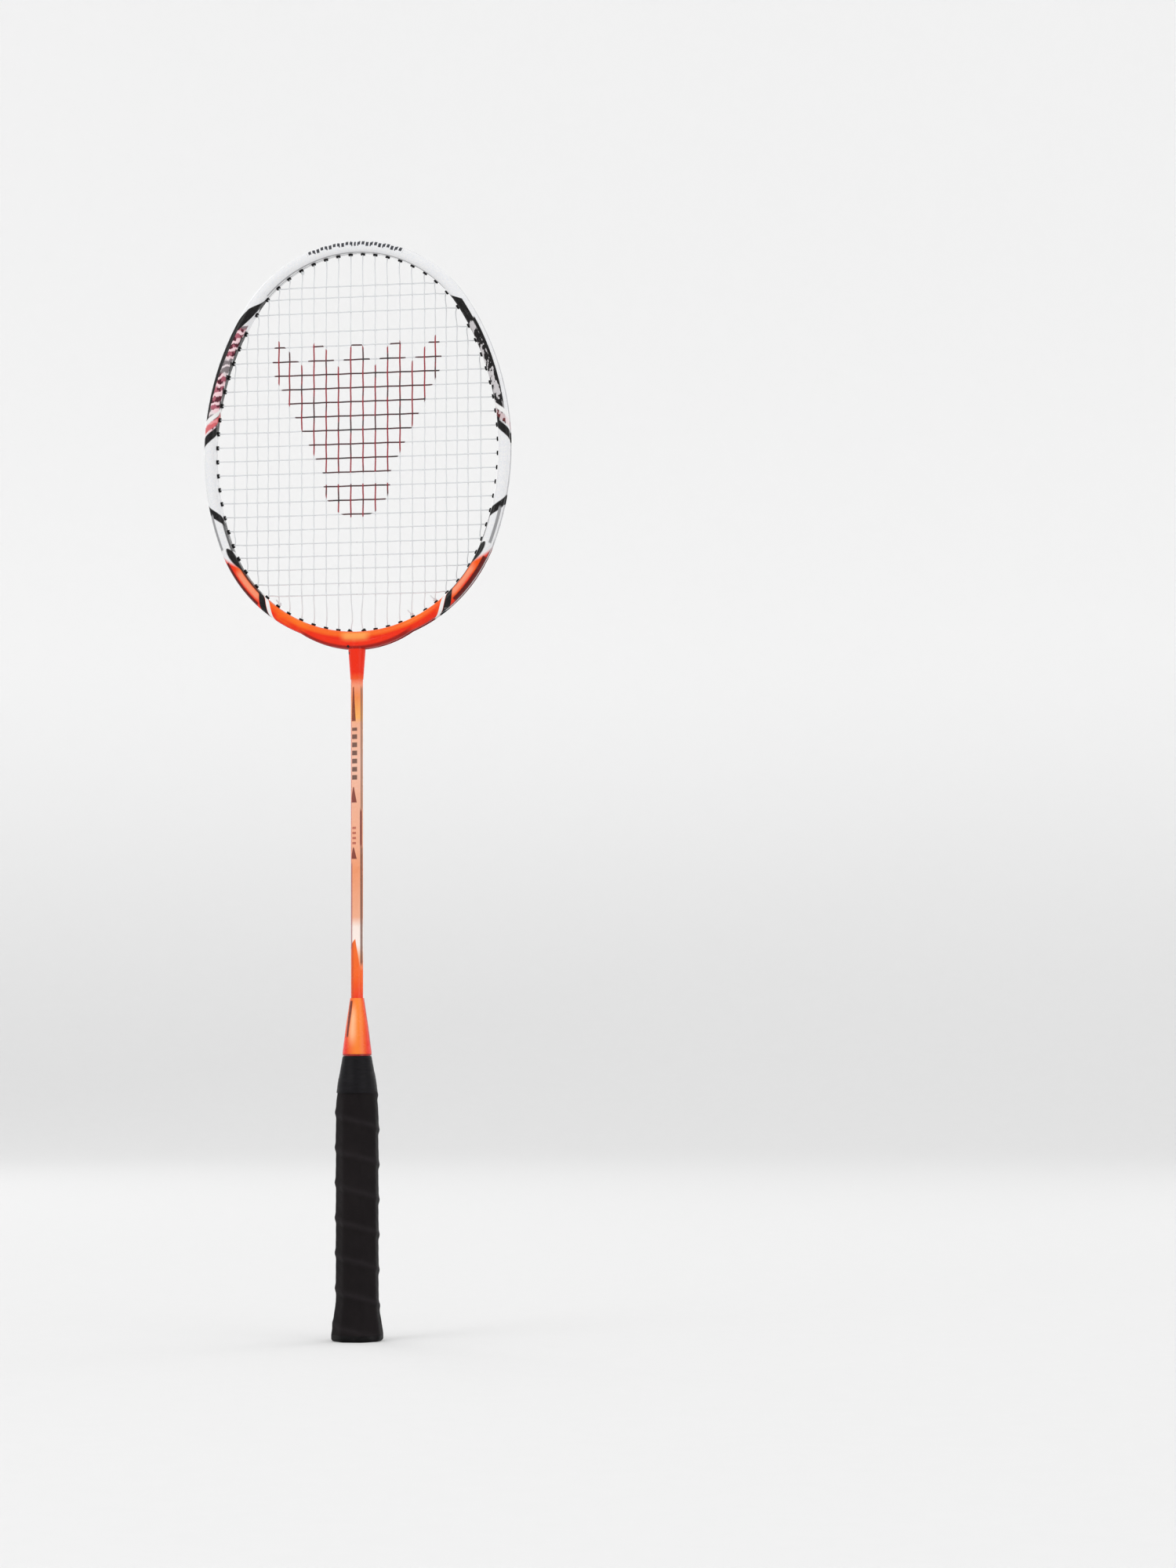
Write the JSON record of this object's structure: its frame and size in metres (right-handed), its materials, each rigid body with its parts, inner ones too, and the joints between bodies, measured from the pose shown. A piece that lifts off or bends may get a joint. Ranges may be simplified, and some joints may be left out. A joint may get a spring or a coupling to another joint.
{
  "type": "badminton racket",
  "caption": "Badminton racket with an isometric strung head, slim painted shaft, cone cap and wound black grip.",
  "frame": {"origin": "centre of the butt end's flat face", "axes": "+Z along the shaft from butt to head, +X across the head in the plane of the strings, -Y out of the front face"},
  "size_m": [0.1938, 0.0296, 0.675],
  "materials": {
    "frame_paint": "lacquered paint, white crown running to orange-red throat",
    "joint_composite": "moulded carbon composite, hidden",
    "shaft_paint": "lacquered paint, orange-red fading to pale peach and back to orange",
    "cone_paint": "glossy orange lacquer",
    "handle_wood": "bare sanded wood, hidden by the grip",
    "butt_plastic": "moulded black plastic",
    "grip_rubber": "black polyurethane grip, satin, finely pebbled",
    "finishing_tape": "black vinyl tape, satin",
    "grommet_nylon": "black nylon",
    "string_nylon": "white coated multifilament nylon"
  },
  "bodies": {
    "root": {"head_frame": "frame_paint", "t_joint": "joint_composite", "shaft": "shaft_paint", "cone_cap": "cone_paint", "handle_core": "handle_wood", "butt_cap": "butt_plastic", "grip_tape": "grip_rubber", "finishing_tape": "finishing_tape", "crown_grommets": "grommet_nylon", "throat_grommets": "grommet_nylon", "left_shoulder_grommets": "grommet_nylon", "right_shoulder_grommets": "grommet_nylon", "left_side_grommets": "grommet_nylon", "right_side_grommets": "grommet_nylon", "left_lower_grommets": "grommet_nylon", "right_lower_grommets": "grommet_nylon", "main_string": "string_nylon", "cross_string": "string_nylon", "left_main_knot": "string_nylon", "right_main_knot": "string_nylon", "top_cross_knot": "string_nylon", "bottom_cross_knot": "string_nylon"}
  },
  "joints": []
}
